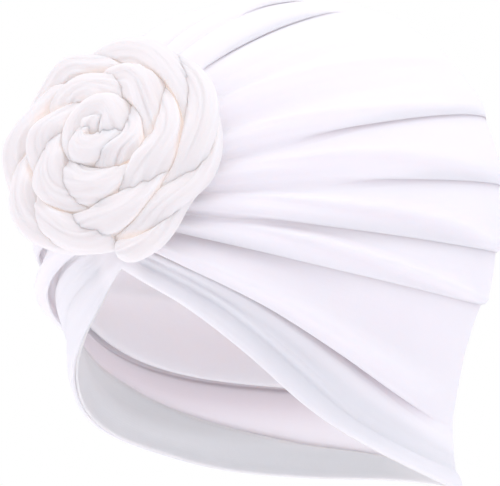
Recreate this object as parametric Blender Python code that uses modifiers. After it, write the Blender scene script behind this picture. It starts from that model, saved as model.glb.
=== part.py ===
"""Turban hat of white stretch jersey, in the form that it has when worn.

The front faces -Y and the wearer's left is +X. The origin is where the top of a head
touches the inside of the crown, so the whole hat hangs round and below it. One pleated
sheet makes the crown: its pleats leave a gathered line at the centre front, run round
both sides and die out at the centre back. A turned hem follows its lower edge inside,
and a three-strand plait is coiled into a rosette that covers the gathers.

Lengths are in millimetres until the meshes are made, and heights in the tables are above
a base level 6 mm over the rim's lowest point.
"""

from collections import namedtuple

import bpy
import numpy as np

MM = 0.001

# Crown: an oval head form
HALF_WIDTH = 86.0  # ear to ear, at the fullest level
HALF_LENGTH = 107.0  # forehead to nape, at the fullest level
TOP_LEAN = 20.0  # how far the top sits behind the middle
SEAT_HEIGHT = 193.0  # inside of the crown's top, which is the origin
SLOPE_STEP = 0.5  # degrees of elevation to each side, over which the form's slope is taken
CLOTH = 1.5  # doubled jersey
HEM_CLOTH = 1.2

# The form from below the rim to the top. elevation is seen from the crown's middle, in
# degrees, and girth is the share of the fullest level.
Level = namedtuple("Level", "elevation girth height")
LEVELS = [
    Level(-60, 0.845, -30.0),
    Level(-45, 0.845, 6.0),
    Level(-30, 0.850, 36.0),
    Level(-22, 0.880, 56.0),
    Level(-15, 0.935, 73.0),
    Level(-7, 0.985, 90.0),
    Level(0, 1.000, 105.0),
    Level(8, 0.998, 120.0),
    Level(15, 0.977, 134.0),
    Level(30, 0.845, 160.0),
    Level(45, 0.640, 178.0),
    Level(60, 0.425, 189.0),
    Level(75, 0.210, 194.0),
    Level(90, 0.000, 195.0),
]

# Pleats from the top centre line down to the rim, one row for each folded edge. front and
# back are where it meets the centre line of the front and of the back, fore and aft pull
# it on the wearer's left, far_fore and far_aft on the right: all elevations in degrees.
# depth is how far the folded edge stands over the next panel.
Pleat = namedtuple("Pleat", "name front fore aft far_fore far_aft back depth")
PLEATS = [
    Pleat("top", 28.0, 90.0, 90.0, 90.0, 90.0, 86.0, 0.0),
    Pleat("crest", 18.0, 74.0, 80.0, 74.0, 80.0, 78.0, 1.5),
    Pleat("over_top", 10.0, 49.0, 52.0, 50.0, 56.0, 68.0, 3.0),
    Pleat("upper", 9.0, 36.0, 30.0, 37.0, 34.0, 52.0, 2.0),
    Pleat("temple", 8.0, 24.0, 15.0, 25.0, 18.0, 36.0, 2.0),
    Pleat("side_1", 6.5, 14.0, 12.0, 15.0, 9.0, 21.0, 3.0),
    Pleat("side_2", 4.5, 7.8, 1.7, 8.0, 1.0, 8.5, 3.5),
    Pleat("side_3", 3.0, 1.7, -7.0, 2.0, -6.0, -3.5, 4.0),
    Pleat("side_4", 0.5, -3.1, -12.0, -4.5, -12.0, -14.0, 4.5),
    Pleat("brow", -2.0, -9.2, -28.5, -11.6, -18.0, -34.0, 5.0),
    Pleat("hem_line", -4.2, -13.5, -35.0, -16.0, -30.0, -43.0, 1.2),
    Pleat("rim", -8.0, -19.6, -36.0, -24.0, -34.0, -50.0, 0.0),
]
APEX_TURN = 2.5  # degrees to the wearer's left, where the rim's two sides meet at the front
# How much higher the right side's rim lies than its pulls give, in degrees, by share of its
# length. The pleats from LIFT_FROM down to the rim follow it more and more.
RIM_LIFT = [
    (0.00, 0.0),
    (0.09, -1.8),
    (0.20, 0.0),
    (0.30, 2.8),
    (0.45, 3.9),
    (0.56, 3.0),
    (0.70, 0.5),
    (0.85, -0.6),
    (1.00, 0.0),
]
LIFT_FROM = 9.0
FORE_TURN, AFT_TURN = 48.0, 128.0  # degrees round from the front, where fore and aft pull
STATIONS = 18  # spans from the front to the back along each pleat
# Across one panel, from under one folded edge (0) to the next (1): how much of the
# upper pleat's depth it lies below, and of its own that it stands out
PANEL_PLACE = (0.04, 0.34, 0.70, 0.95)
PANEL_TUCK = (0.55, 0.05, 0.00, 0.00)
PANEL_CREST = (0.00, 0.10, 0.42, 0.55)
GATHER = 0.10  # share of a pleat's length over which it deepens from the gathers
FADE_FROM = 0.62  # share of a pleat's length from which it flattens to the back
HEM_START = 0.05  # share of the rim's length, where the hem comes from under the rosette
HEM_FOOT = 10.98  # where the hem's lower and upper edges lie across the sheet, counted in
HEM_TOP_FRONT, HEM_TOP_BACK = 9.40, 10.35  # pleats from the top
HEM_NARROWS = 0.50  # share of the rim's length from which the hem narrows to the back
HEM_ROWS = 6
HEM_CLEARANCE = 1.1  # from the crown at the hem's own lines, which narrows between them

# Rosette: a flat plait of three strands, coiled into a low dome before the crown's front
ROSETTE_MIDDLE = (4.4, -108.4, 130.1)
ROSETTE_TURN, ROSETTE_PITCH = 6.0, 24.0  # degrees, where the dome faces
DOME_RADIUS, DOME_RISE = 46.0, 11.0  # the coils' middle rises from the edge to the centre
PLAIT_HALF_WIDTH, PLAIT_HALF_THICK = 7.0, 8.8
SWING, STACK = 3.3, 4.1  # of a strand to each side of the plait's middle, and above and below
PLUMP = 3.6  # how squarely a strand fills its share of the plait
STRAND_GAP = 1.4  # where strands cross at an angle, which narrows it
TAIL_BEARING = -75.0  # degrees round the rosette from the wearer's left, where the plait starts
STRAND_SIDES = 8
STRAND_SPANS = 104
# The plait's path from its tucked tail to the centre. turn is degrees travelled, radius is
# from the rosette's centre, size is the share of its full thickness, lobe is how many
# strands have crossed its outer edge.
Coil = namedtuple("Coil", "turn radius size lobe")
COIL = [
    Coil(0, 42.4, 0.34, 0.0),
    Coil(35, 40.0, 0.72, 0.9),
    Coil(70, 38.6, 0.92, 1.6),
    Coil(106, 37.6, 0.99, 2.2),
    Coil(162, 37.4, 1.00, 3.1),
    Coil(231, 37.4, 1.00, 4.7),
    Coil(300, 37.2, 1.00, 6.3),
    Coil(330, 35.8, 1.00, 7.0),
    Coil(360, 31.8, 0.95, 7.6),
    Coil(384, 28.2, 0.96, 8.1),
    Coil(408, 25.4, 0.96, 8.6),
    Coil(448, 24.0, 0.96, 9.3),
    Coil(487, 23.6, 0.95, 10.0),
    Coil(540, 23.4, 0.95, 11.0),
    Coil(590, 23.0, 0.95, 11.9),
    Coil(650, 22.0, 0.96, 13.0),
    Coil(700, 19.2, 0.96, 13.8),
    Coil(735, 15.6, 0.92, 14.4),
    Coil(770, 12.0, 0.88, 15.0),
    Coil(830, 10.6, 0.87, 15.9),
    Coil(900, 10.2, 0.86, 16.9),
    Coil(960, 9.0, 0.82, 17.8),
    Coil(1020, 6.6, 0.74, 18.7),
    Coil(1080, 3.8, 0.54, 19.6),
    Coil(1110, 3.0, 0.42, 20.0),
]
# The gathers stand out behind the rosette, by BUNCH at their middle. The rest is in degrees
BUNCH, BUNCH_REACH, BUNCH_ELEVATION = 2.0, 24.0, 14.0

WHITE_JERSEY = (0.86, 0.86, 0.88, 1.0)


def column(rows, name):
    return np.array([getattr(row, name) for row in rows], float)


def through(at, places, values):
    """A smooth line through a table's rows: cubic pieces that share their neighbours' slope."""
    slope = np.gradient(values, places)
    low = np.clip(np.searchsorted(places, at) - 1, 0, len(places) - 2)
    span = places[low + 1] - places[low]
    share = (at - places[low]) / span
    rise = values[low + 1] - values[low]
    ease = share * share * (3 - 2 * share)
    start = share * (1 - share) ** 2 * span * slope[low]
    end = share * share * (1 - share) * span * slope[low + 1]
    return values[low] + rise * ease + start - end


def unit(vectors):
    return vectors / np.linalg.norm(vectors, axis=-1, keepdims=True)


def direction(turn, elevation):
    """The unit vector at an angle round from the front and an elevation, in degrees."""
    turn, elevation = np.radians(turn), np.radians(elevation)
    level = np.cos(elevation)
    return np.stack(
        np.broadcast_arrays(level * np.sin(turn), -level * np.cos(turn), np.sin(elevation)), -1
    )


def on_form(towards):
    """The point of the head form that lies towards a unit vector, and its outward normal."""
    elevation = np.degrees(np.arcsin(np.clip(towards[..., 2], -1, 1)))
    places = column(LEVELS, "elevation")
    girth = through(elevation, places, column(LEVELS, "girth"))
    height = through(elevation, places, column(LEVELS, "height"))
    level = np.maximum(np.hypot(towards[..., 0], towards[..., 1]), 1e-9)
    across, along = towards[..., 0] / level, towards[..., 1] / level
    lean = TOP_LEAN * np.clip(towards[..., 2], 0, None) ** 2
    point = np.stack(
        [HALF_WIDTH * girth * across, HALF_LENGTH * girth * along + lean, height], -1
    )
    rise, spread = (
        through(elevation + SLOPE_STEP, places, column(LEVELS, name))
        - through(elevation - SLOPE_STEP, places, column(LEVELS, name))
        for name in ("height", "girth")
    )
    # An oval's outward direction leans to its long sides
    round_half = (HALF_WIDTH + HALF_LENGTH) / 2
    out = np.stack(
        [
            rise * across * round_half / HALF_WIDTH,
            rise * along * round_half / HALF_LENGTH,
            -spread * round_half,
        ],
        -1,
    )
    return point, unit(out)


def pleat_edge(pleat_number, side, share):
    """Directions along a line of the sheet from the front (share 0) to the back (1).

    pleat_number may fall between two pleats, and side is 1 on the wearer's left, -1 right.
    """
    numbers = np.arange(len(PLEATS), dtype=float)
    to_rim = np.clip((pleat_number - LIFT_FROM) / (numbers[-1] - LIFT_FROM), 0, 1)
    fore, aft = ("fore", "aft") if side > 0 else ("far_fore", "far_aft")

    def angle(name):
        return np.interp(pleat_number, numbers, column(PLEATS, name))

    start, end = direction(APEX_TURN * to_rim, angle("front")), direction(180, angle("back"))
    pull_fore = direction(side * FORE_TURN, angle(fore))
    pull_aft = direction(side * AFT_TURN, angle(aft))
    lift = to_rim * through(np.asarray(share), *np.array(RIM_LIFT).T) * (side < 0)
    share = np.asarray(share)[..., None]
    rest = 1 - share
    towards = unit(
        rest**3 * start
        + 3 * share * rest**2 * pull_fore
        + 3 * share**2 * rest * pull_aft
        + share**3 * end
    )
    turn = np.degrees(np.arctan2(towards[..., 0], -towards[..., 1]))
    return direction(turn, np.degrees(np.arcsin(towards[..., 2])) + lift)


def sheet_point(pleat_number, side, share, sink=0.0):
    """A point of the pleated sheet, sunk inwards by sink."""
    towards = pleat_edge(pleat_number, side, share)
    point, normal = on_form(towards)
    place = pleat_number - np.floor(pleat_number)
    above = np.clip(np.floor(pleat_number).astype(int), 0, len(PLEATS) - 1)
    below = np.clip(above + 1, 0, len(PLEATS) - 1)
    depth = column(PLEATS, "depth")
    tuck = np.interp(place, (0,) + PANEL_PLACE + (1,), (PANEL_TUCK[0],) + PANEL_TUCK + (0,))
    crest = np.interp(place, (0,) + PANEL_PLACE + (1,), (0,) + PANEL_CREST + (0.3,))
    relief = crest * depth[below] - tuck * depth[above]
    deepen = np.clip(share / GATHER, 0, 1)
    flatten = np.clip((1 - share) / (1 - FADE_FROM), 0, 1)
    relief = relief * deepen * flatten * flatten * (3 - 2 * flatten)
    off_bunch = np.degrees(np.arccos(np.clip(towards @ direction(0, BUNCH_ELEVATION), -1, 1)))
    bunch = BUNCH * np.exp(-((off_bunch / BUNCH_REACH) ** 2))
    return point + normal * (relief + bunch - sink)[..., None]


def grid_mesh(name, points, wraps=False):
    """A mesh over a grid of points. wraps joins its last row to its first and closes both
    ends with a point in the middle of the end ring."""
    rows, across = points.shape[:2]
    index = np.arange(rows * across).reshape(rows, across)
    right = np.roll(index, -1, axis=1) if wraps else index[:, 1:]
    left = index if wraps else index[:, :-1]
    faces = np.stack([left[:-1], left[1:], right[1:], right[:-1]], -1).reshape(-1, 4).tolist()
    vertices = points.reshape(-1, 3)
    if wraps:
        vertices = np.vstack([vertices, points[0].mean(0), points[-1].mean(0)])
        first, last = rows * across, rows * across + 1
        for here, there in zip(index[0], np.roll(index[0], -1)):
            faces.append([first, here, there])
        for here, there in zip(index[-1], np.roll(index[-1], -1)):
            faces.append([last, there, here])
    placed = (vertices - (0, 0, SEAT_HEIGHT)) * MM
    mesh = bpy.data.meshes.new(name)
    mesh.from_pydata(placed.tolist(), [], faces)
    return mesh


def add_part(name, mesh, collection):
    part = bpy.data.objects.new(name, mesh)
    collection.objects.link(part)
    material = bpy.data.materials.new(name + "_jersey")
    material.use_nodes = True
    shader = material.node_tree.nodes["Principled BSDF"]
    shader.inputs["Base Color"].default_value = WHITE_JERSEY
    shader.inputs["Roughness"].default_value = 0.85
    shader.inputs["Metallic"].default_value = 0.0
    mesh.materials.append(material)
    return part


def add_cloth(name, points, thickness, collection):
    """An open sheet of cloth whose given points are its outer face."""
    part = add_part(name, grid_mesh(name, points), collection)
    weld = part.modifiers.new("Join at the seams", "WELD")
    weld.merge_threshold = 0.00001
    wall = part.modifiers.new("Cloth thickness", "SOLIDIFY")
    wall.thickness = thickness * MM
    wall.offset = -1
    return part


def crown_points():
    """The sheet from the far rim over the top to the near rim, and from front to back."""
    panels = np.arange(1, len(PLEATS) - 1)[:, None]
    panel_lines = (panels + np.array(PANEL_PLACE)).ravel()
    lines = np.concatenate([[0, 0.5], panel_lines, [len(PLEATS) - 1]])
    share = np.linspace(0, 1, STATIONS + 1)
    number, along = np.meshgrid(lines, share, indexing="ij")
    near = sheet_point(number, 1, along)
    far = sheet_point(number, -1, along)
    return np.concatenate([far[:0:-1], near])


def hem_points():
    """The hem from the far front end, round the back, to the near front end."""
    share = np.linspace(HEM_START, 1, STATIONS)
    top = np.interp(share, (HEM_NARROWS, 1), (HEM_TOP_FRONT, HEM_TOP_BACK))
    number = np.linspace(np.full_like(top, HEM_FOOT), top, HEM_ROWS)
    along = np.broadcast_to(share, number.shape)
    sink = CLOTH + HEM_CLEARANCE
    near = sheet_point(number, 1, along, sink)
    far = sheet_point(number, -1, along, sink)
    return np.concatenate([far, near[:, -2::-1]], axis=1)


def rosette_axes():
    """Where the rosette faces, and its own sideways and upward directions."""
    facing = direction(ROSETTE_TURN, ROSETTE_PITCH)
    left = unit(np.cross((0, 0, 1), facing))
    return facing, left, np.cross(facing, left)


def cell_reach(heading, centres, strand, size):
    """How far strand's share of the plait's section reaches from its centre towards heading.

    The section is an oval shared out by whichever of three centres is nearest. Each limit,
    the oval's edge and the half-way lines, is blended into the next so that corners round.
    """
    own = centres[strand]
    across, above = np.cos(heading), np.sin(heading)
    wide = (PLAIT_HALF_WIDTH * size)[:, None]
    thick = (PLAIT_HALF_THICK * size)[:, None]
    a = (across / wide) ** 2 + (above / thick) ** 2
    b = own[0][:, None] * across / wide**2 + own[1][:, None] * above / thick**2
    c = (own[0][:, None] / wide) ** 2 + (own[1][:, None] / thick) ** 2 - 1
    reach = (np.sqrt(b * b - a * c) - b) / a
    blend = reach**-PLUMP
    for other in (centres[strand - 1], centres[strand - 2]):
        gap_x, gap_y = (other[0] - own[0])[:, None], (other[1] - own[1])[:, None]
        apart = np.hypot(gap_x, gap_y)
        facing = np.maximum((gap_x * across + gap_y * above) / apart, 1e-3)
        blend += ((apart - STRAND_GAP * size[:, None]) / 2 / facing) ** -PLUMP
    return blend ** (-1 / PLUMP)


def strand_points(strand):
    """One strand as rings that lie across the plait: it winds over the top from the inner to
    the outer side and back below, a third of a turn from each of the others."""
    lobes = column(COIL, "lobe")
    lobe = np.linspace(lobes[0], lobes[-1], STRAND_SPANS + 1)
    turn, radius, size = (
        through(lobe, lobes, column(COIL, name)) for name in ("turn", "radius", "size")
    )
    facing, left, up = rosette_axes()
    bearing = np.radians(TAIL_BEARING + turn)[:, None]
    spoke = np.cos(bearing) * left + np.sin(bearing) * up
    rise = DOME_RISE * (1 - (radius / DOME_RADIUS) ** 2)
    path = ROSETTE_MIDDLE + spoke * radius[:, None] + facing * rise[:, None]
    slope = 2 * DOME_RISE * radius / DOME_RADIUS**2
    normal = unit(facing + spoke * slope[:, None])
    along = unit(np.gradient(path, axis=0))
    outwards = unit(np.cross(along, normal))
    centres = []
    for each in range(3):
        phase = np.radians(120 * (lobe + each))
        centres.append((SWING * size * np.sin(phase), STACK * size * np.cos(phase)))
    heading = np.linspace(0, 2 * np.pi, STRAND_SIDES, endpoint=False)[None]
    reach = cell_reach(heading, centres, strand, size)
    sideways = centres[strand][0][:, None] + reach * np.cos(heading)
    above = centres[strand][1][:, None] + reach * np.sin(heading)
    return (
        path[:, None]
        + outwards[:, None] * sideways[..., None]
        + normal[:, None] * above[..., None]
    )


def main():
    for old in list(bpy.data.objects):
        bpy.data.objects.remove(old, do_unlink=True)
    scene = bpy.context.scene
    hat = bpy.data.collections.new("Turban hat")
    scene.collection.children.link(hat)
    add_cloth("crown", crown_points(), CLOTH, hat)
    add_cloth("rim_hem", hem_points(), HEM_CLOTH, hat)
    for strand in range(3):
        name = f"plait_strand_{strand + 1}"
        add_part(name, grid_mesh(name, strand_points(strand), wraps=True), hat)


main()
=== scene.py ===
"""Turban hat of white stretch jersey in the form that it has when worn, dressed over its
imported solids: a pleated crown, the hem turned up inside it, and a plaited rosette.

The front faces -Y and the wearer's left is +X. Shapes are worked out in millimetres above
the same base level as the solids, and put in metres with the top of the head at the origin.
"""

from collections import namedtuple

import bmesh
import bpy
import numpy as np
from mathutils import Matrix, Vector


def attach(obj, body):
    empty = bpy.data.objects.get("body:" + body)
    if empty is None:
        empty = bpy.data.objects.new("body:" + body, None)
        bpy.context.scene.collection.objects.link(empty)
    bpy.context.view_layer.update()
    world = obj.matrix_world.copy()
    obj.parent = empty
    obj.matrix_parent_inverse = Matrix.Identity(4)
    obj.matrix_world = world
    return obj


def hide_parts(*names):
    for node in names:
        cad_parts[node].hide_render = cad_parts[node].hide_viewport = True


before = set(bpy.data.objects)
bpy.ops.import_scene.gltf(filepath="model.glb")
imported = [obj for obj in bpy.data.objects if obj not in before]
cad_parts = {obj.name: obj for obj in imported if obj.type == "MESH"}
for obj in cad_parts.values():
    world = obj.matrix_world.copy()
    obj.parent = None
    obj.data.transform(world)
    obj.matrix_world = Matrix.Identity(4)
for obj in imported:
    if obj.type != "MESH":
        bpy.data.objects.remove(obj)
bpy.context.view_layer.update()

MM = 0.001

# Crown: the same oval head form as the solids'
HALF_WIDTH, HALF_LENGTH = 86.0, 107.0
TOP_LEAN = 20.0  # how far the top sits behind the middle
SEAT_HEIGHT = 193.0  # inside of the crown's top, which is the origin
CLOTH = 1.5
SLOPE_STEP = 0.5  # degrees of elevation to each side, over which the form's slope is taken

# The form's outline: at an elevation in degrees, its girth as a share of the fullest level's,
# and its height
Level = namedtuple("Level", "elevation girth height")
LEVELS = [
    Level(-60, 0.845, -30.0),
    Level(-45, 0.845, 6.0),
    Level(-30, 0.850, 36.0),
    Level(-22, 0.880, 56.0),
    Level(-15, 0.935, 73.0),
    Level(-7, 0.985, 90.0),
    Level(0, 1.000, 105.0),
    Level(8, 0.998, 120.0),
    Level(15, 0.977, 134.0),
    Level(30, 0.845, 160.0),
    Level(45, 0.640, 178.0),
    Level(60, 0.425, 189.0),
    Level(75, 0.210, 194.0),
    Level(90, 0.000, 195.0),
]

# The cloth pulls in behind the ears, over the nape: by this share of the form, round this turn
# and elevation, as a soft bell this many degrees wide and tall
NAPE_TUCK, NAPE_TURN, NAPE_ELEVATION = 0.052, 124.0, -36.0
NAPE_WIDE, NAPE_TALL = 42.0, 13.0

# The folded edges from the top centre line to the rim, placed as the solids' are. near, mid
# and far are how high the edge stands over the next panel where it leaves the rosette, a
# third of the way back, and at the side, and sink is how far it lies under the form. Between
# the shares lap_from and lap_to of its length the edge laps over the next panel with a small
# roll of cloth, and elsewhere it slopes down softly over the millimetres in soft. Past 1 they
# mean that it never laps.
Fold = namedtuple(
    "Fold", "name front fore aft far_fore far_aft back near mid far sink soft roll lap_from lap_to"
)
FOLDS = [
    Fold("top", 28.0, 90.0, 90.0, 90.0, 90.0, 86.0, 0.0, 0.0, 0.0, 0.0, 3.0, 0.8, 2.00, 2.10),
    Fold("crest", 18.0, 74.0, 80.0, 74.0, 80.0, 78.0, 1.1, 1.0, 0.5, 0.0, 4.0, 0.6, 0.30, 0.44),
    Fold("over_top", 10.0, 49.0, 52.0, 50.0, 56.0, 68.0, 1.2, 1.3, 0.8, 0.0, 4.0, 0.5, 0.20, 0.42),
    Fold("upper", 9.0, 36.0, 30.0, 37.0, 34.0, 52.0, 2.2, 1.4, 0.2, 0.2, 9.0, 0.8, 2.00, 2.10),
    Fold("temple", 8.0, 24.0, 15.0, 25.0, 18.0, 36.0, 2.4, 1.2, 0.3, 0.2, 9.0, 0.8, 2.00, 2.10),
    Fold("side_1", 6.5, 14.0, 12.0, 15.0, 9.0, 21.0, 3.0, 2.2, 1.5, 0.0, 6.0, 0.5, 0.36, 0.64),
    Fold("side_2", 4.5, 7.8, 1.7, 8.0, 1.0, 8.5, 4.4, 2.4, 1.6, 0.0, 5.0, 0.5, 0.42, 0.64),
    Fold("side_3", 3.0, 1.7, -7.0, 2.0, -6.0, -3.5, 5.0, 3.2, 2.0, 0.0, 4.0, 0.6, 0.30, 0.66),
    Fold("side_4", 0.5, -3.1, -12.0, -4.5, -12.0, -14.0, 4.4, 4.0, 1.6, 0.0, 3.0, 0.7, 0.14, 0.66),
    Fold("brow", -2.0, -9.2, -28.5, -11.6, -18.0, -34.0, 5.6, 6.4, 1.0, 0.0, 4.0, 0.6, 0.12, 0.50),
    Fold("hem_line", -4.2, -13.5, -35.0, -16.0, -30.0, -43.0, 0.3, 0.3, 0.3, 1.0, 5.0, 1.2, 2.00, 2.10),
    Fold("rim", -8.0, -19.6, -36.0, -24.0, -34.0, -50.0, 0.0, 0.0, 0.0, 0.0, 2.0, 1.5, 0.00, 2.00),
]
APEX_TURN = 2.5  # degrees to the wearer's left, where the rim's two sides meet at the front
# How much higher the right side's rim lies than its pulls give, in degrees, by share of its
# length. The lines from LIFT_FROM down to the rim follow it more and more.
RIM_LIFT = [
    (0.00, 0.0),
    (0.09, -1.8),
    (0.20, 0.0),
    (0.30, 2.8),
    (0.45, 3.9),
    (0.56, 3.0),
    (0.70, 0.5),
    (0.85, -0.6),
    (1.00, 0.0),
]
LIFT_FROM = 9.0
STEP_SHARES = (0.10, 0.33, 0.55, 0.70, 0.90)  # where near, mid and far hold, and two after them
BEHIND = (0.45, 0.30)  # how much of far is left at those two
EDGE_RISE = 0.45  # the share of a step that stands over the form, the rest lying under it
FORE_TURN, AFT_TURN = 48.0, 128.0  # degrees round from the front, where fore and aft pull
STATIONS = 168  # spans along each panel
PANEL_ROWS = 13  # rows of points across each panel, before the one at its edge
ROLL_TURN = (35, 75, 115, 155, 190)  # degrees round the folded edge
FOLD_SMOOTHED, BEND_SMOOTHED = 31, 33  # places over which a fold's steps and a bend are evened
# The next two set the painted shade in the tucks: how much of it the far side has, and how far it
# reaches over the next panel
FAR_SHADE = 0.2  # how much of the near side's shade the far side's tucks have
TUCK_SHADE = 0.8  # how far the shade in a tuck reaches over the next panel
UNDERCUT = 2.4  # how far the cloth goes back up under the edge
SLACK = 1.8  # how much further in the inner layer hangs, except at the rim, where it is folded

# Rosette: the same domed disc and plait as the solids'
ROSETTE_MIDDLE = np.array((4.4, -108.4, 130.1))
ROSETTE_TURN, ROSETTE_PITCH = 6.0, 24.0  # degrees, where the dome faces
DOME_RADIUS, DOME_RISE = 46.0, 11.0  # of the dome that the plait's middle line lies on
PLAIT_HALF_WIDTH, PLAIT_HALF_THICK = 7.6, 9.0
SPREAD = 1.55  # how much wider the plait would be on the sides where its neighbours press it
OVAL = 2.5  # power of the plait's rounded oval section
SECTION_HALVINGS = 16  # times a section's reach is halved to find its edge
CROSSING = 0.6  # how much faster a strand crosses the top than the bottom
MIDDLE_SHARE = 0.42  # where a strand's middle lies between the plait's and its edge
PLUMP = 13.0  # power that rounds a lobe's corners: higher is squarer
PRESSED = 1.0  # how far pressed neighbours share their soft edges
LOBE_RISE, PUFF = 0.05, 0.22  # how much a lobe swells at its middle, and falls to its edges
WRINKLE = 0.075  # how far the gathers' wrinkles raise a strand, as a share of its thickness
END_ROUND, BUD_ROUND = 7.0, 3.0  # millimetres over which a strand's tail and bud end round off
BUD_OVERLAP = 7.0  # how far the innermost coil reaches past the middle, to close the bud
BEND_ROOM = 0.9  # how much of its bend's radius a strand may fill on the inner side
WOBBLE = 26.0  # degrees, how unevenly the strands wind
UNEVEN = 0.11  # how much the lobes differ in thickness
TAIL_BEARING = -75.0  # degrees round the rosette from the wearer's left, where the plait starts
STRAND_SIDES, STRAND_SPANS = 56, 900
GIRTH_MAP = 0.005  # metres of flat cloth per radian round a strand
# The plait's coil from its tail inwards: its radius and size at a turn in degrees, and how many
# lobes have gone by. It ends straight across the middle, where the radius is negative.
Coil = namedtuple("Coil", "turn radius size lobe")
COIL = [
    Coil(0, 41.4, 0.84, 0.0),
    Coil(20, 40.2, 0.84, 0.5),
    Coil(45, 36.6, 0.80, 1.1),
    Coil(70, 38.0, 0.94, 1.6),
    Coil(106, 37.6, 1.00, 2.2),
    Coil(162, 37.4, 1.00, 3.1),
    Coil(231, 37.4, 1.00, 4.7),
    Coil(300, 37.2, 1.00, 6.3),
    Coil(330, 35.8, 1.00, 7.0),
    Coil(360, 31.8, 0.98, 7.6),
    Coil(384, 28.2, 1.00, 8.1),
    Coil(408, 25.4, 1.00, 8.6),
    Coil(448, 24.0, 1.00, 9.3),
    Coil(487, 23.6, 1.00, 10.0),
    Coil(540, 23.4, 1.00, 11.0),
    Coil(590, 23.0, 1.00, 11.9),
    Coil(650, 22.0, 1.00, 13.0),
    Coil(700, 19.2, 1.00, 13.8),
    Coil(735, 15.6, 1.00, 14.3),
    Coil(770, 12.0, 1.00, 14.8),
    Coil(830, 10.6, 1.00, 15.5),
    Coil(900, 9.4, 1.04, 16.2),
    Coil(960, 7.4, 1.08, 16.7),
    Coil(1005, 5.0, 1.12, 17.0),
    Coil(1035, 1.5, 1.14, 17.3),
    Coil(1047, -2.5, 1.12, 17.6),
    Coil(1054, -6.5, 1.02, 17.9),
    Coil(1058, -9.0, 0.92, 18.1),
]

# Tension ridges: each crosses its panel from the share near of its width, at share start of the
# sheet's length, to the share far at share stop
Ridge = namedtuple("Ridge", "panel start near stop far height")
RIDGES = [
    Ridge(3, 0.24, 0.30, 0.50, 0.75, 1.2),
    Ridge(4, 0.26, 0.30, 0.52, 0.80, 1.4),
    Ridge(5, 0.28, 0.28, 0.56, 0.85, 2.0),
    Ridge(6, 0.27, 0.15, 0.57, 0.90, 3.4),
    Ridge(7, 0.26, 0.22, 0.57, 0.92, 3.4),
    Ridge(8, 0.16, 0.62, 0.48, 0.85, 4.2),
]
RIDGE_WIDE = 0.13  # half width of a ridge, as a share of its panel
BROW_PANEL = 9  # from here to the rim the panels are flatter
# Under the brow fold the panel rises by the first share of its height within the second share of
# its width, so the fold leaves a narrow crease
BROW_FILL = (0.95, 0.24)
RIM_SWELL = 1.1  # how far the rolled rim stands out at its middle
FAR_NEAR = 0.55  # how much lower the far side's folds are at the rosette
# The gathers' swelling behind the rosette: its height, its reach and its middle's elevation
BUNCH, BUNCH_REACH, BUNCH_ELEVATION = 2.0, 24.0, 14.0
CLOTH_RUN, PANEL_RUN = 0.30, 0.018  # metres of flat cloth along the sheet, and across a panel

# Hem, inside the rim. Its edges' places are counted in folds, and it narrows to the back from
# the share HEM_NARROWS of the rim's length.
HEM_FOOT, HEM_TOP_FRONT, HEM_TOP_BACK, HEM_NARROWS = 10.98, 9.40, 10.35, 0.50
HEM_START = 0.05  # where it comes from under the rosette
HEM_CLOTH, HEM_GAP = 1.1, 0.15  # its thickness, and how far it lies off the lining
HEM_STATIONS, HEM_ROWS = 260, 16  # places along half of it, and across each face
HEM_RUN, HEM_WIDE = 0.55, 0.02  # metres of flat band along it and across
LINING_EDGE = 8.93  # where the inner layer's free edge lies
LINING_PANEL = 22.0  # millimetres of lining between two folds' lines there
# the painted shade on the lining under its free edge reaches this far down it
LINING_SHADE = 11.0  # how far down the lining the shade under its free edge reaches
# The lining's profile from the soft roll below the free edge, through the slot behind it and
# round to its face: millimetres up the sheet (negative) or down, and inwards from the lining
LINING_LIP = [
    (9.2, 0.0),
    (7.5, 0.3),
    (5.8, 0.9),
    (4.2, 1.6),
    (3.0, 2.1),
    (2.2, 2.1),
    (1.7, 1.6),
    (1.4, 1.2),
    (0.9, 0.9),
    (-0.6, 0.8),
    (-1.8, 1.0),
    (-2.4, 1.6),
    (-1.8, 2.3),
    (-0.2, 2.7),
    (0.6, 3.3),
    (0.7, 4.0),
    (0.1, 4.6),
    (-1.6, 4.9),
]


def column(rows, name):
    """One column of a table as an array."""
    return np.array([getattr(row, name) for row in rows], float)


def through(at, places, values):
    """A smooth line through a table's rows: cubic pieces that share their neighbours' slope."""
    slope = np.gradient(values, places)
    low = np.clip(np.searchsorted(places, at) - 1, 0, len(places) - 2)
    span = places[low + 1] - places[low]
    share = (at - places[low]) / span
    rise = values[low + 1] - values[low]
    ease = share * share * (3 - 2 * share)
    start = share * (1 - share) ** 2 * span * slope[low]
    end = share * share * (1 - share) * span * slope[low + 1]
    return values[low] + rise * ease + start - end


def smooth_step(at, low, high):
    """0 up to low and 1 from high, and between them three squares less two cubes."""
    share = np.clip((at - low) / (high - low), 0, 1)
    return share * share * (3 - 2 * share)


def smoothed(values, span):
    """A moving average under a soft bell, over an odd number of values."""
    bell = np.hanning(span) / np.hanning(span).sum()
    return np.convolve(np.pad(values, span // 2, mode="edge"), bell, mode="valid")


def unit(vectors):
    """Vectors in the same directions, each of length 1."""
    return vectors / np.linalg.norm(vectors, axis=-1, keepdims=True)


def direction(turn, elevation):
    """The unit vector at an angle round from the front and an elevation, in degrees."""
    turn, elevation = np.radians(turn), np.radians(elevation)
    level = np.cos(elevation)
    return np.stack(
        np.broadcast_arrays(level * np.sin(turn), -level * np.cos(turn), np.sin(elevation)), -1
    )


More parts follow.
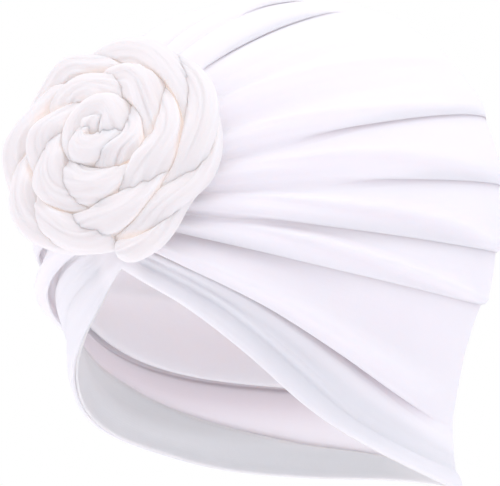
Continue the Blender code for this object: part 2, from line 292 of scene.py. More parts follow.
def on_form(towards):
    """The point of the head form that lies towards a unit vector, and its outward normal."""
    elevation = np.degrees(np.arcsin(np.clip(towards[..., 2], -1, 1)))
    places = column(LEVELS, "elevation")
    girth = through(elevation, places, column(LEVELS, "girth"))
    height = through(elevation, places, column(LEVELS, "height"))
    level = np.maximum(np.hypot(towards[..., 0], towards[..., 1]), 1e-9)
    across, along = towards[..., 0] / level, towards[..., 1] / level
    off_turn = np.degrees(np.arctan2(np.abs(across), -along)) - NAPE_TURN
    off_level = elevation - NAPE_ELEVATION
    girth = girth - NAPE_TUCK * np.exp(-((off_turn / NAPE_WIDE) ** 2) - (off_level / NAPE_TALL) ** 2)
    lean = TOP_LEAN * np.clip(towards[..., 2], 0, None) ** 2
    point = np.stack([HALF_WIDTH * girth * across, HALF_LENGTH * girth * along + lean, height], -1)
    rise, spread = (
        through(elevation + SLOPE_STEP, places, column(LEVELS, name))
        - through(elevation - SLOPE_STEP, places, column(LEVELS, name))
        for name in ("height", "girth")
    )
    half = (HALF_WIDTH + HALF_LENGTH) / 2
    across, along = rise * across * half / HALF_WIDTH, rise * along * half / HALF_LENGTH
    return point, unit(np.stack([across, along, -spread * half], -1))


def sheet_line(number, side, share):
    """Directions along a line of the sheet, number counting folds from the top: a cubic
    from the front centre line to the back one, pulled by its fore and aft columns."""
    folds = np.arange(len(FOLDS), dtype=float)
    to_rim = np.clip((number - LIFT_FROM) / (folds[-1] - LIFT_FROM), 0, 1)
    lift = to_rim * through(share, *np.array(RIM_LIFT).T) * (side < 0)
    fore, aft = ("fore", "aft") if side > 0 else ("far_fore", "far_aft")
    front, fore, aft, back = (
        np.interp(number, folds, column(FOLDS, name)) for name in ("front", fore, aft, "back")
    )
    share = share[..., None]
    rest = 1 - share
    towards = unit(
        rest**3 * direction(APEX_TURN * to_rim, front)
        + 3 * share * rest**2 * direction(side * FORE_TURN, fore)
        + 3 * share**2 * rest * direction(side * AFT_TURN, aft)
        + share**3 * direction(180, back)
    )
    turn = np.degrees(np.arctan2(towards[..., 0], -towards[..., 1]))
    return direction(turn, np.degrees(np.arcsin(towards[..., 2])) + lift)


def bunch_height(towards):
    """The gathers' swelling behind the rosette: a soft bell round the middle of the front."""
    off = np.degrees(np.arccos(np.clip(towards @ direction(0, BUNCH_ELEVATION), -1, 1)))
    return BUNCH * np.exp(-((off / BUNCH_REACH) ** 2))


def soft_noise(across, along, cells, seed):
    """Smooth noise of -1 to 1 on a seeded lattice, cells per unit of across and of along."""
    rng = np.random.default_rng(seed)
    x, y = across * cells[0], along * cells[1]
    x0, y0 = np.floor(x).astype(int), np.floor(y).astype(int)
    x0, y0 = x0 - x0.min(), y0 - y0.min()
    fx, fy = x - np.floor(x), y - np.floor(y)
    lattice = rng.uniform(-1, 1, (x0.max() + 2, y0.max() + 2))
    fx, fy = fx * fx * (3 - 2 * fx), fy * fy * (3 - 2 * fy)
    return (
        lattice[x0, y0] * (1 - fx) * (1 - fy)
        + lattice[x0 + 1, y0] * fx * (1 - fy)
        + lattice[x0, y0 + 1] * (1 - fx) * fy
        + lattice[x0 + 1, y0 + 1] * fx * fy
    )


def pulls(number, share, side):
    """Tension ridges that fan from the gathers: long soft swells over finer wrinkles that
    fade from the rosette to the sides. They die at both ends of the sheet."""
    ends = smooth_step(share, 0.0, 0.08) * smooth_step(share, 1.0, 0.9)
    near = 0.40 + 1.4 * np.exp(-share / 0.24)
    long = soft_noise(number, share, (1.6, 2.6), 61 + side)
    wide = soft_noise(number, share, (3.2, 4.0), 11 + side)
    fine = soft_noise(number, share, (8.0, 9.0), 21 + side)
    return ends * (0.55 * long + near * (0.45 * wide + 0.22 * fine))


def fold_heights(fold, share, side):
    """Height of a folded edge over the form, and of the next panel's start below it, from
    the step that runs straight between its named places and is then evened out."""
    ends = smooth_step(share, 0.0, 0.07) * smooth_step(share, 1.0, 0.93)
    behind = [fold.far * left for left in BEHIND]
    step = np.interp(share, STEP_SHARES, (fold.near, fold.mid, fold.far, *behind))
    if side < 0:
        step = step * (FAR_NEAR + (1 - FAR_NEAR) * smooth_step(share, 0.12, 0.3))
    step = smoothed(step, FOLD_SMOOTHED) * ends
    return EDGE_RISE * step - fold.sink, (EDGE_RISE - 1) * step - fold.sink


def lapped(fold, share):
    """1 where the fold laps over the next panel, 0 where it slopes down to it."""
    lap = smooth_step(share, fold.lap_from - 0.08, fold.lap_from + 0.08)
    return lap * smooth_step(share, fold.lap_to + 0.10, fold.lap_to - 0.10)


def slope_ends(fold, share, width):
    """How far before and after its line, as shares of a panel, a fold's soft slope reaches."""
    reach = np.minimum(fold.soft / width, 0.36) * (1 - lapped(fold, share))
    if fold.name in ("top", "rim"):
        reach = 0 * reach
    return 0.4 * reach, 0.6 * reach


def tension(panel, place, share, width):
    """Height of a panel's tension ridge, a soft bell across it, at a place on its width."""
    height = 0 * share
    for ridge in RIDGES:
        if ridge.panel == panel:
            middle = np.interp(share, (ridge.start, ridge.stop), (ridge.near, ridge.far))
            fade = smooth_step(share, ridge.start - 0.12, ridge.start + 0.06)
            fade = fade * smooth_step(share, ridge.stop + 0.14, ridge.stop - 0.04)
            bell = np.exp(-(((place - middle) / RIDGE_WIDE) ** 2))
            height = height + np.minimum(ridge.height, 0.15 * width) * fade * bell
    return height


def crown_face(side):
    """One side of the outer face, from the top centre line to the rim, as rows of points.

    Each panel rises from its low start under one fold to the edge of the next, as a round
    roll near the rosette and flatter behind. At the edge the cloth turns round a small roll,
    goes back up under itself and meets the next panel, or slopes down to it.
    """
    share = np.linspace(0, 1, STATIONS + 1)
    heights = [fold_heights(fold, share, side) for fold in FOLDS]
    # How far a panel bulges, and where on its width its rise ends and starts: further back it
    # is flatter and rises more steeply
    roundness = 0.03 + 0.10 * np.exp(-((share / 0.30) ** 2))
    crest = 0.62 + 0.26 * smooth_step(share, 0.08, 0.42)
    foot = -0.10 + 0.42 * smooth_step(share, 0.18, 0.50)
    # painted_tuck_shades holds how much painted shade of the crease colour each row gets
    numbers, rises, painted_tuck_shades = [], [], []
    above_lap = 0 * share
    place = np.linspace(0, 1, PANEL_ROWS + 2)[1:]
    place = 0.6 * (0.5 - 0.5 * np.cos(np.pi * place)) + 0.4 * place
    for k in range(len(FOLDS) - 1):
        low, high = heights[k][1], heights[k + 1][0]
        last = k + 2 == len(FOLDS)
        near = sheet_line(np.full_like(share, k + 0.9), side, share)
        far = sheet_line(np.full_like(share, k + (1.0 if last else 1.1)), side, share)
        width = np.linalg.norm(on_form(near)[0] - on_form(far)[0], axis=-1)
        width = width / (0.1 if last else 0.2) + 1e-6
        start, stop = slope_ends(FOLDS[k], share, width)[1], slope_ends(FOLDS[k + 1], share, width)[0]
        ends = smooth_step(share, 0.02, 0.12) * smooth_step(share, 1.0, 0.75)
        for p in place:
            rise = smooth_step(p, foot, crest)
            if k == BROW_PANEL:
                rise = np.maximum(rise, BROW_FILL[0] * smooth_step(p, 0.0, BROW_FILL[1]))
            swell = np.sin(np.pi * p**1.2) * np.minimum(width, 20) * roundness * ends
            swell = swell * (1.0 if k < BROW_PANEL else 0.3) + tension(k, p, share, width)
            if last:
                swell = RIM_SWELL * np.sin(np.pi * p**0.8) * smooth_step(share, 0.0, 0.1)
            numbers.append(k + start + p * (1 - stop - start))
            rises.append(low * (1 - rise) + high * rise + swell)
            # painted shade from the lapped fold above, fading across the top of this panel
            painted_tuck_shades.append(above_lap * np.exp(-((p * width / TUCK_SHADE) ** 2)))
        fold = FOLDS[k + 1]
        if last:
            break
        floor = heights[k + 1][1]
        lap = lapped(fold, share)
        roll = np.minimum(np.minimum(fold.roll, 0.42 * (high - floor)), width * 0.12)
        back = np.minimum(UNDERCUT, width * 0.22)
        before, after = slope_ends(fold, share, width)
        steps = len(ROLL_TURN) + 2
        for j, turn in enumerate([*ROLL_TURN, None, None]):
            soft = (j + 1) / (steps + 1)
            soft_place = soft * after - (1 - soft) * before
            soft_height = high + (floor - high) * smooth_step(soft, 0.0, 1.0)
            if turn is not None:
                across = roll * np.sin(np.radians(turn))
                height = high - roll + roll * np.cos(np.radians(turn))
            else:
                first = j == len(ROLL_TURN)
                across = -back * (1.0 if first else 0.55)
                under = high - 2 * roll
                height = under - (0.15 if first else 1.0) * (under - floor)
            numbers.append(k + 1 + lap * across / width + (1 - lap) * soft_place)
            rises.append(lap * height + (1 - lap) * soft_height)
            # painted shade in the fold's roll and undercut
            painted_tuck_shades.append(lap * (1.0 if turn is None else smooth_step(turn, 75, 190)))
        above_lap = lap
    number, rise = np.array(numbers), np.array(rises)
    along = np.broadcast_to(share, number.shape)
    towards = sheet_line(number, side, along)
    point, normal = on_form(towards)
    rise = rise + pulls(number, along, side) + bunch_height(towards)
    # the painted shade in the tucks, weaker on the far side
    shade = np.array(painted_tuck_shades) * (1.0 if side > 0 else FAR_SHADE)
    return point + normal * rise[..., None], number, along, shade


def inner_height(number, share, side):
    """How far the inside of the cloth lies under the form's surface: the wall's thickness,
    over soft folds that run along the sheet."""
    towards = sheet_line(number, side, share)
    fade = smooth_step(share, 0.04, 0.2) * smooth_step(share, 1.0, 0.86)
    folds = soft_noise(number, share, (1.9, 1.6), 71 + side)
    folds = folds + 0.5 * soft_noise(number, share, (4.0, 2.2), 77)
    room = SLACK * smooth_step(number, 10.9, 9.9)
    return bunch_height(towards) - CLOTH - room + 0.7 * fade * folds * room / SLACK


def crown_lining(side):
    """One side of the inner face, from the rim to the top centre line. The layer over the
    brow fold hangs free: it swells inwards to a rounded edge that laps over the lower one,
    which goes up behind it."""
    share = np.linspace(0, 1, STATIONS + 1)
    free = smooth_step(share, 0.14, 0.34) * smooth_step(share, 1.0, 0.84)
    numbers, sinks, painted_tuck_shades = [], [], []
    for line in np.linspace(len(FOLDS) - 1, LINING_EDGE + 0.45, 11):
        below = (line - LINING_EDGE) * LINING_PANEL
        numbers.append(np.full_like(share, line))
        sinks.append(0 * share)
        # painted shade on the lining below its free edge
        painted_tuck_shades.append(free * np.exp(-((below / LINING_SHADE) ** 2)))
    for below, sink in LINING_LIP:
        # on_roll keeps the painted shade off the slot and the free edge
        on_roll = below > 0.9 and sink < 2.5  # not in the slot or on the free edge
        numbers.append(LINING_EDGE + below / LINING_PANEL * free)
        sinks.append(sink * free)
        painted_tuck_shades.append(free * np.exp(-((below / LINING_SHADE) ** 2)) * on_roll)
    for line in np.concatenate([np.linspace(LINING_EDGE - 0.12, 8.0, 12), np.linspace(7.8, 0, 26)]):
        numbers.append(np.full_like(share, line))
        sinks.append(LINING_LIP[-1][1] * smooth_step(line, 7.9, LINING_EDGE - 0.1) * free)
        painted_tuck_shades.append(0 * share)
    number, sink = np.array(numbers), np.array(sinks)
    along = np.broadcast_to(share, number.shape)
    point, normal = on_form(sheet_line(number, side, along))
    point = point + normal * (inner_height(number, along, side) - sink)[..., None]
    return point, number, along, np.array(painted_tuck_shades)


def cloth_mesh(name, points, places):
    """A mesh over a grid of points whose last row joins the first, with a map of where each
    lies on the flat cloth."""
    index = np.arange(points.shape[0] * points.shape[1]).reshape(points.shape[:2])
    after = np.roll(index, -1, axis=0)
    faces = np.stack([index[:, :-1], after[:, :-1], after[:, 1:], index[:, 1:]], -1).reshape(-1, 4)
    mesh = bpy.data.meshes.new(name)
    placed = (points.reshape(-1, 3) - (0, 0, SEAT_HEIGHT)) * MM
    mesh.from_pydata(placed.tolist(), [], faces.tolist())
    flat = mesh.uv_layers.new(name="cloth")
    corner = np.empty(len(mesh.loops), np.int32)
    mesh.loops.foreach_get("vertex_index", corner)
    flat.data.foreach_set("uv", places.reshape(-1, 2)[corner].astype(np.float32).ravel())
    return mesh


def store_painted_crease_shade(mesh, depth):
    """Stores how deep each point lies in a tuck, 0 to 1, from which the material paints shade and, on
    the plait, a painted glow.
    """
    painted_crease_shade = mesh.attributes.new("painted_crease_shade", "FLOAT", "POINT")
    painted_crease_shade.data.foreach_set("value", depth.astype(np.float32).ravel())


def close_ends(mesh):
    """Fills the open ring at each end of a mesh."""
    work = bmesh.new()
    work.from_mesh(mesh)
    bmesh.ops.holes_fill(work, edges=[edge for edge in work.edges if edge.is_boundary])
    work.to_mesh(mesh)
    work.free()


def finish_mesh(mesh):
    """Closes seams and poles, points the faces outwards and smooths the shading."""
    work = bmesh.new()
    work.from_mesh(mesh)
    bmesh.ops.remove_doubles(work, verts=work.verts, dist=1e-6)
    bmesh.ops.recalc_face_normals(work, faces=work.faces)
    work.to_mesh(mesh)
    work.free()
    mesh.shade_smooth()
    return mesh


def add_piece(name, mesh, material, node):
    """Puts a mesh in the scene as the piece that shows in place of a node of the solids."""
    piece = bpy.data.objects.new(name, mesh)
    bpy.context.scene.collection.objects.link(piece)
    mesh.materials.append(material)
    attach(piece, "root")
    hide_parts(*node)
    return piece


def crown_cloth(material):
    """The crown as one closed shell: far side, near side, then back over the inner face."""
    near, near_number, near_along, near_painted_shade = crown_face(1)
    far, far_number, far_along, far_painted_shade = crown_face(-1)
    lining_near, ln_number, ln_along, ln_painted_shade = crown_lining(1)
    lining_far, lf_number, lf_along, lf_painted_shade = crown_lining(-1)
    points = np.concatenate([far[::-1], near, lining_near, lining_far[::-1][1:]])
    whole = 2 * (len(FOLDS) - 1)
    across = [far_number[::-1] * -1, near_number, whole - ln_number, whole + lf_number[::-1][1:]]
    along = np.concatenate([far_along[::-1], near_along, ln_along, lf_along[::-1][1:]])
    places = np.stack([along * CLOTH_RUN, np.concatenate(across) * PANEL_RUN], -1)
    mesh = cloth_mesh("crown_cloth", points, places)
    # stores the tucks' painted shade for the crown's material
    store_painted_crease_shade(mesh, np.concatenate([far_painted_shade[::-1], near_painted_shade, ln_painted_shade, lf_painted_shade[::-1][1:]]))
    return add_piece("crown_cloth", finish_mesh(mesh), material, ["crown"])


def hem_band(material):
    """The turned hem: a thin band on the inside of the rim. Its profile goes up the outer
    face and down the inner one, and is carried from the far front end round the back to the
    near one."""
    share = np.linspace(HEM_START, 1, HEM_STATIONS)
    top = np.interp(share, (HEM_NARROWS, 1), (HEM_TOP_FRONT, HEM_TOP_BACK))
    outer = np.linspace(0, 1, HEM_ROWS)
    width = np.concatenate([outer, outer[::-1]])
    depth = np.repeat([0.0, 1.0], HEM_ROWS)
    halves = []
    for side in (-1, 1):
        number = HEM_FOOT + (top[None] - HEM_FOOT) * width[:, None]
        along = np.broadcast_to(share, number.shape)
        point, normal = on_form(sheet_line(number, side, along))
        sink = inner_height(number, along, side) - HEM_GAP - HEM_CLOTH * depth[:, None]
        halves.append(point + normal * sink[..., None])
    points = np.concatenate([halves[0], halves[1][:, -2::-1]], axis=1)
    run = np.linspace(0, HEM_RUN, points.shape[1])
    places = np.stack(np.broadcast_arrays(run[None], HEM_WIDE * width[:, None]), -1)
    mesh = cloth_mesh("rim_hem_band", points, places)
    close_ends(mesh)
    return add_piece("rim_hem_band", finish_mesh(mesh), material, ["rim_hem"])


def rosette_axes():
    """Where the rosette's dome faces, and the wearer's left and the top across it."""
    facing = direction(ROSETTE_TURN, ROSETTE_PITCH)
    left = unit(np.cross((0, 0, 1), facing))
    return facing, left, np.cross(facing, left)


def turned(phase):
    """Heading of a strand round the plait's middle, from the top, at a phase in degrees:
    it crosses the top fast and stays low for long, so that each lobe fills the plait's width."""
    return phase + CROSSING * np.degrees(np.sin(np.radians(phase)))


def strand_section(phase, size, uneven, spread, rooms, heading):
    """Sideways and upward places round a strand's section. It is the part of the plait's
    rounded oval between two lines from its middle, pressed flat by the coils beside it, with
    every corner rounded by blending the reaches to each of these as a power mean."""
    middle = np.radians(turned(phase))[:, None]
    wide, thick = (PLAIT_HALF_WIDTH * size)[:, None], (PLAIT_HALF_THICK * size * uneven)[:, None]
    start = MIDDLE_SHARE * np.sin(middle) * wide, MIDDLE_SHARE * np.cos(middle) * thick
    outer, inner = wide * spread[:, None], wide * SPREAD
    aside, up = np.sin(heading), np.cos(heading)
    off = np.degrees(np.abs((heading - middle + np.pi) % (2 * np.pi) - np.pi))
    puff = 1.0 + LOBE_RISE - PUFF * np.clip(off / 90, 0, 1.4) ** 2
    low = np.zeros(np.broadcast(middle, heading).shape)
    high = low + 2.5 * PLAIT_HALF_THICK
    for _ in range(SECTION_HALVINGS):
        reach = (low + high) / 2
        x, y = start[0] + reach * aside, start[1] + reach * up
        out_of_oval = np.abs(x / np.where(x > 0, outer, inner)) ** OVAL + np.abs(y / thick) ** OVAL
        within = out_of_oval < puff**OVAL
        low, high = np.where(within, reach, low), np.where(within, high, reach)
    blend = reach**-PLUMP
    for turn_off, sense in ((-60, -1), (60, 1)):
        line = np.radians(turned(phase + turn_off))[:, None]
        out = sense * np.cos(line), -sense * np.sin(line)
        room = -(start[0] * out[0] + start[1] * out[1]) + PRESSED / 2
        facing = np.maximum(aside * out[0] + up * out[1], 1e-3)
        blend = blend + (np.maximum(room, 0.3) / facing) ** -PLUMP
    for room, sense in zip(rooms, (-1, 1)):
        clear = np.maximum(room[:, None] - sense * start[0], 0.4)
        blend = blend + (clear / np.maximum(sense * aside, 1e-3)) ** -PLUMP
    close = blend ** (-1 / PLUMP)
    # the third value, how deep each place lies in a tuck, shapes the wrinkles and is stored for the
    # painted shade
    return start[0] + close * aside, start[1] + close * up, 1 - (close / reach) ** 2


def plait_path(turn, radius):
    """The plait's middle line on the dome, its outward and facing directions, its length from
    the tail, and its evened bend: the change of its direction per millimetre."""
    facing, left, up = rosette_axes()
    bearing = np.radians(TAIL_BEARING + turn)[:, None]
    spoke = np.cos(bearing) * left + np.sin(bearing) * up
    rise = DOME_RISE * (1 - (radius / DOME_RADIUS) ** 2)
    path = ROSETTE_MIDDLE + spoke * radius[:, None] + facing * rise[:, None]
    slope = 2 * DOME_RISE * radius / DOME_RADIUS**2
    normal = unit(facing + spoke * slope[:, None])
    along = unit(np.gradient(path, axis=0))
    outwards = unit(np.cross(along, normal))
    run = np.concatenate([[0], np.cumsum(np.linalg.norm(np.diff(path, axis=0), axis=1))])
    bend = smoothed(np.linalg.norm(np.gradient(along, run, axis=0), axis=1), BEND_SMOOTHED)
    return path, outwards, normal, run, bend


def gather_wrinkles(heading, lobe, strand):
    """Wrinkles along a strand: two lattices of soft noise round it, and a finer one across."""
    across, up = np.cos(heading) + 0 * lobe[:, None], np.sin(heading) + 0 * lobe[:, None]
    long = lobe[:, None] + 0 * heading
    wrinkle = soft_noise(across * 2 + 5, long, (3.6, 1.3), 31 + strand)
    wrinkle += soft_noise(up * 2 + 5, long, (3.6, 1.3), 41 + strand)
    return wrinkle + 0.4 * soft_noise(across * 2 + up * 3 + 9, long, (5.0, 3.0), 45 + strand)


def plait_strand(strand, material):
    """One strand of the plait as rings across its path: it winds over the top from the inner
    to the outer side and back below, a third of a turn from each of the others. Each side has
    half the room to the next coil, and the innermost coil reaches past the middle. Wrinkles
    run along it, because the jersey is gathered into the roll. Its ends are rounded off."""
    lobes, turns = column(COIL, "lobe"), column(COIL, "turn")
    lobe = np.linspace(lobes[0], lobes[-1], STRAND_SPANS + 1)
    turn, radius, size = (
        through(lobe, lobes, column(COIL, name)) for name in ("turn", "radius", "size")
    )
    path, outwards, normal, run, bend = plait_path(turn, radius)
    coil_out = np.interp(turn - 360, turns, column(COIL, "radius"), left=1e3) - radius
    coil_in = radius - np.interp(turn + 360, turns, column(COIL, "radius"), right=0.0)
    rooms = [0.5 * coil_in + PRESSED / 2, 0.5 * coil_out + PRESSED / 2]
    rooms[0] = np.where(turn + 360 > turns[-1], np.maximum(radius, 1.5) + BUD_OVERLAP, rooms[0])
    rooms[0] = np.minimum(rooms[0], BEND_ROOM / np.maximum(bend, 1e-3))
    ends = np.clip(np.minimum(run / END_ROUND, (run[-1] - run) / BUD_ROUND), 0, 1)
    size = size * np.sqrt(np.maximum(1 - (1 - ends) ** 2, 1e-4))
    wobble = soft_noise(lobe + 7 * strand, 0 * lobe, (1.1, 1.0), 51)
    phase = (120 * (lobe + strand) + WOBBLE * wobble + 180) % 360 - 180
    heading = np.linspace(0, 2 * np.pi, STRAND_SIDES, endpoint=False)[None]
    uneven = 1 + UNEVEN * soft_noise(lobe + 3.3 * strand, 0 * lobe, (1.3, 1.0), 57)
    spread = 1 + (SPREAD - 1) * smooth_step(turn, 330, 400)
    sideways, above, tucked_painted_shade = strand_section(phase, size, uneven, spread, rooms, heading)
    middle = sideways.mean(axis=1, keepdims=True), above.mean(axis=1, keepdims=True)
    grow = 1 + WRINKLE * gather_wrinkles(heading, lobe, strand) * np.clip(1 - tucked_painted_shade, 0, 1)
    sideways = middle[0] + (sideways - middle[0]) * grow
    above = middle[1] + (above - middle[1]) * grow
    points = path[:, None] + outwards[:, None] * sideways[..., None] + normal[:, None] * above[..., None]
    rings = points.transpose(1, 0, 2)
    length = np.broadcast_to(run * MM, rings.shape[:2])
    girth = np.broadcast_to(heading[0][:, None] * GIRTH_MAP, rings.shape[:2])
    name = f"plait_strand_{strand + 1}_roll"
    mesh = cloth_mesh(name, rings, np.stack([length, girth], -1))
    # stores the tuck depth for the painted warm shade and painted glow in the crevices
    store_painted_crease_shade(mesh, tucked_painted_shade.T)
    close_ends(mesh)
    return add_piece(name, finish_mesh(mesh), material, [f"plait_strand_{strand + 1}"])


def linear(hex_colour):
    """An sRGB hex colour as linear values with alpha 1."""
    values = np.array([int(hex_colour[i : i + 2], 16) for i in (1, 3, 5)]) / 255
    values = np.where(values <= 0.04045, values / 12.92, ((values + 0.055) / 1.055) ** 2.4)
    return (*values.tolist(), 1.0)


def add_node(tree, kind, settings=(), **links):
    """A node with its settings, and its inputs given as values or as other nodes' sockets."""
    node = tree.nodes.new(kind)
    for name, value in dict(settings).items():
        setattr(node, name, value)
    for name, value in links.items():
        socket = node.inputs[name.replace("_", " ")]
        if isinstance(value, bpy.types.NodeSocket):
            tree.links.new(value, socket)
        else:
            socket.default_value = value
    return node


STITCH_DRAWN = 0.0011  # metres between columns of stitches, as drawn
# how much of the painted crease shade colour shows in the deepest tuck
PAINTED_TUCK_SHADE = 0.8  # how much of the crease colour shows in the deepest tuck


def jersey(
    name, shade, deep, painted_crease_shade=None, painted_glow=0.0, pull_scale=(14.0, 90.0, 1.0), pull_depth=0.12, soak=0.0045
):
    """Fine cotton-elastane single jersey: matt, with a slight bloom of loose fibre, columns
    of stitches 0.7 mm apart, which are too fine to show and so are drawn at 1.1 mm, faint
    slubs, and fine pulls along the cloth. In its tucks the painted_crease_shade colour is
    mixed in as painted shade, and painted_glow makes the tucks glow, a painted light. soak
    is how far light spreads in it, in metres."""
    material = bpy.data.materials.new(name)
    material.use_nodes = True
    tree = material.node_tree
    shader = tree.nodes["Principled BSDF"]
    flat = add_node(tree, "ShaderNodeUVMap", {"uv_map": "cloth"}).outputs["UV"]
    wales = add_node(
        tree,
        "ShaderNodeTexWave",
        {"wave_type": "BANDS", "bands_direction": "Y"},
        Vector=flat,
        Scale=1 / STITCH_DRAWN / 6.2832 * 2,
        Distortion=0.6,
        Detail=1.0,
    )
    place = add_node(tree, "ShaderNodeTexCoord").outputs["Object"]
    slub = add_node(tree, "ShaderNodeTexNoise", Vector=place, Scale=260.0, Detail=4.0, Roughness=0.6)
    cloudy = add_node(tree, "ShaderNodeTexNoise", Vector=place, Scale=28.0, Detail=3.0, Roughness=0.5)
    mixed = {"data_type": "RGBA"}
    tone = add_node(
        tree, "ShaderNodeMix", mixed, Factor=cloudy.outputs["Fac"], A=linear(shade), B=linear(deep)
    )
    colour = tone.outputs["Result"]
    # Painted shade: the crease colour is mixed in by the stored tuck depth, and a painted glow of that
    # depth lightens the creases
    if painted_crease_shade:
        painted_shade_mask = add_node(tree, "ShaderNodeAttribute", {"attribute_name": "painted_crease_shade"}).outputs["Fac"]
        painted_shade_amount = add_node(tree, "ShaderNodeMath", {"operation": "MULTIPLY"})
        tree.links.new(painted_shade_mask, painted_shade_amount.inputs[0])
        painted_shade_amount.inputs[1].default_value = PAINTED_TUCK_SHADE
        tucked_painted_shade = add_node(
            tree, "ShaderNodeMix", mixed, Factor=painted_shade_amount.outputs[0], A=colour, B=linear(painted_crease_shade)
        )
        colour = tucked_painted_shade.outputs["Result"]
        painted_glow_amount = add_node(tree, "ShaderNodeMath", {"operation": "MULTIPLY"})
        tree.links.new(painted_shade_mask, painted_glow_amount.inputs[0])
        painted_glow_amount.inputs[1].default_value = painted_glow
        # colour of the painted glow in the creases
        shader.inputs["Emission Color"].default_value = linear("#fff2ec")
        tree.links.new(painted_glow_amount.outputs[0], shader.inputs["Emission Strength"])
    tree.links.new(colour, shader.inputs["Base Color"])
    pulled = add_node(tree, "ShaderNodeMapping", Vector=flat, Scale=pull_scale).outputs["Vector"]
    fine = add_node(tree, "ShaderNodeTexNoise", Vector=pulled, Scale=1.0, Detail=2.0, Roughness=0.5)
    pull = add_node(
        tree, "ShaderNodeBump", Height=fine.outputs["Fac"], Strength=pull_depth, Distance=0.0012
    )
    grain = add_node(
        tree,
        "ShaderNodeBump",
        Height=slub.outputs["Fac"],
        Strength=0.12,
        Distance=0.0006,
        Normal=pull.outputs["Normal"],
    )
    knit = add_node(
        tree,
        "ShaderNodeBump",
        Height=wales.outputs["Fac"],
        Strength=0.02,
        Distance=0.0003,
        Normal=grain.outputs["Normal"],
    )
    tree.links.new(knit.outputs["Normal"], shader.inputs["Normal"])
    shader.inputs["Roughness"].default_value = 0.9
    shader.inputs["Specular IOR Level"].default_value = 0.25
    shader.inputs["Subsurface Weight"].default_value = 0.9
    shader.inputs["Subsurface Radius"].default_value = (1.0, 0.9, 0.85)
    shader.inputs["Subsurface Scale"].default_value = soak
    shader.inputs["Sheen Weight"].default_value = 0.15
    shader.inputs["Sheen Roughness"].default_value = 0.5
    return material


def plain_surface(name, colour, roughness):
    """One even colour, as of a paper sweep."""
    material = bpy.data.materials.new(name)
    material.use_nodes = True
    shader = material.node_tree.nodes["Principled BSDF"]
    shader.inputs["Base Color"].default_value = linear(colour)
    shader.inputs["Roughness"].default_value = roughness
    return material


# Camera: level with the hat and 35 degrees round from its front, where its long lens leaves
# the hat filling the frame
CAMERA_TURN, CAMERA_RISE, CAMERA_REACH = 35.0, 0.5, 1300.0
AIM = np.array((0.0, 0.0, 100.0))
AIM_ASIDE, AIM_UP = -8.9, -3.4
MM_ACROSS_FRAME = 202.0
SENSOR = 36.0

# Light, in metres: the floor's half width and level, and the place that the lamps face
FLOOR_REACH, FLOOR_LEVEL = 3.0, -0.62
LAMPS_FACE = (0.0, 0.0, -0.09)


def set_camera():
    """A long lens aimed near the hat's middle, moved aside and up across the view."""
    towards = direction(CAMERA_TURN, CAMERA_RISE)
    right = unit(np.cross((0, 0, 1), towards))
    up = np.cross(towards, right)
    aim = AIM + right * AIM_ASIDE + up * AIM_UP
    place = (aim + towards * CAMERA_REACH - (0, 0, SEAT_HEIGHT)) * MM
    data = bpy.data.cameras.new("camera")
    data.sensor_width = SENSOR
    data.lens = SENSOR * CAMERA_REACH / MM_ACROSS_FRAME
    data.clip_start, data.clip_end = 0.05, 50
    camera = bpy.data.objects.new("camera", data)
    camera.location = Vector(place.tolist())
    camera.rotation_euler = Vector((-towards).tolist()).to_track_quat("-Z", "Y").to_euler()
    bpy.context.scene.collection.objects.link(camera)
    bpy.context.scene.camera = camera


def add_lamp(name, turn, elevation, reach, size, power, colour="#ffffff"):
    """A square soft lamp that faces the hat's middle."""
    towards = direction(turn, elevation)
    data = bpy.data.lights.new(name, "AREA")
    data.size = size
    data.energy = power
    data.color = linear(colour)[:3]
    lamp = bpy.data.objects.new(name, data)
    lamp.location = Vector((towards * reach + LAMPS_FACE).tolist())
    lamp.rotation_euler = Vector(towards.tolist()).to_track_quat("Z", "Y").to_euler()
    lamp.visible_camera = False
    bpy.context.scene.collection.objects.link(lamp)


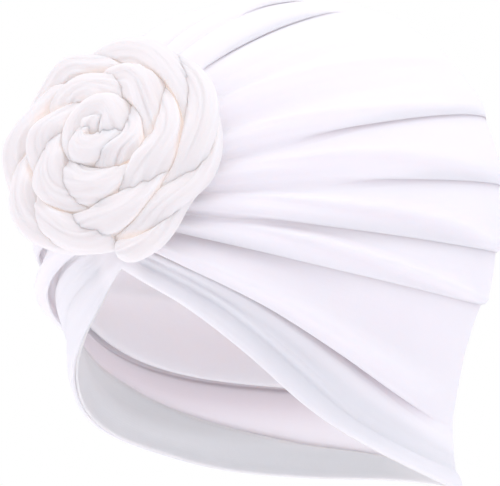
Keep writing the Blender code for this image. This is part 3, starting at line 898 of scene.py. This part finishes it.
def set_studio():
    """A pale floor well below the hat and a white surround, a soft key, a warmer fill and a
    light table. A weak lamp inside the crown stands for light that comes through the cloth."""
    floor_mesh = bpy.data.meshes.new("floor")
    corners = [(-1, -1), (1, -1), (1, 1), (-1, 1)]
    floor_mesh.from_pydata(
        [(x * FLOOR_REACH, y * FLOOR_REACH, FLOOR_LEVEL) for x, y in corners], [], [(0, 1, 2, 3)]
    )
    floor = bpy.data.objects.new("floor", floor_mesh)
    floor_mesh.materials.append(plain_surface("white paper sweep", "#f4f4f6", 0.9))
    bpy.context.scene.collection.objects.link(floor)
    world = bpy.data.worlds.new("studio")
    bpy.context.scene.world = world
    world.use_nodes = True
    tree = world.node_tree
    light = tree.nodes["Background"]
    light.inputs["Color"].default_value = linear("#f6f5fe")
    light.inputs["Strength"].default_value = 1.02
    seen = add_node(tree, "ShaderNodeBackground", Color=linear("#ffffff"), Strength=1.0)
    ray = add_node(tree, "ShaderNodeLightPath").outputs["Is Camera Ray"]
    both = add_node(tree, "ShaderNodeMixShader", Fac=ray)
    tree.links.new(light.outputs[0], both.inputs[1])
    tree.links.new(seen.outputs[0], both.inputs[2])
    tree.links.new(both.outputs[0], tree.nodes["World Output"].inputs["Surface"])
    add_lamp("key", 75, 58, 1.6, 0.9, 4.6)
    add_lamp("left fill", -50, 10, 1.4, 0.8, 1.9, "#fff3ea")
    add_lamp("light table", 20, -80, 0.44, 0.36, 0.3, "#fff6f2")
    add_lamp("through the cloth", 0, 90, 0.05, 0.10, 0.031)
    view = bpy.context.scene.view_settings
    view.view_transform = "Standard"
    view.look = "None"
    view.exposure = 0.0
    view.gamma = 1.0


# White cotton-elastane jersey, knitted fine: a matt, slightly cool white, with painted grey shade in its
# tucks.
# The hem's is its back, a little warmer, and lighter, which is painted light on the band in the shade
# inside the rim.
# The plait's is gathered round padding, so fine pulls run along it, and its crevices have painted warm
# shade and a painted glow.
crown_jersey = jersey("white cotton jersey", "#f3f0f2", "#f0edf0", "#d2cbcf")
# lighter than the crown's jersey: painted light on the band in the shade inside the rim
hem_jersey_painted_lighter = jersey("white cotton jersey, hem", "#fbf5f0", "#f9f2ee")
plait_jersey = jersey(
    "white cotton jersey, gathered",
    "#f2eeec",
    "#efebe9",
    painted_crease_shade="#f4eae2",
    painted_glow=0.3,
    pull_scale=(75.0, 420.0, 1.0),
    pull_depth=0.4,
    soak=0.0035,
)

crown = crown_cloth(crown_jersey)
hem = hem_band(hem_jersey_painted_lighter)
strands = [plait_strand(number, plait_jersey) for number in range(3)]

set_camera()
set_studio()
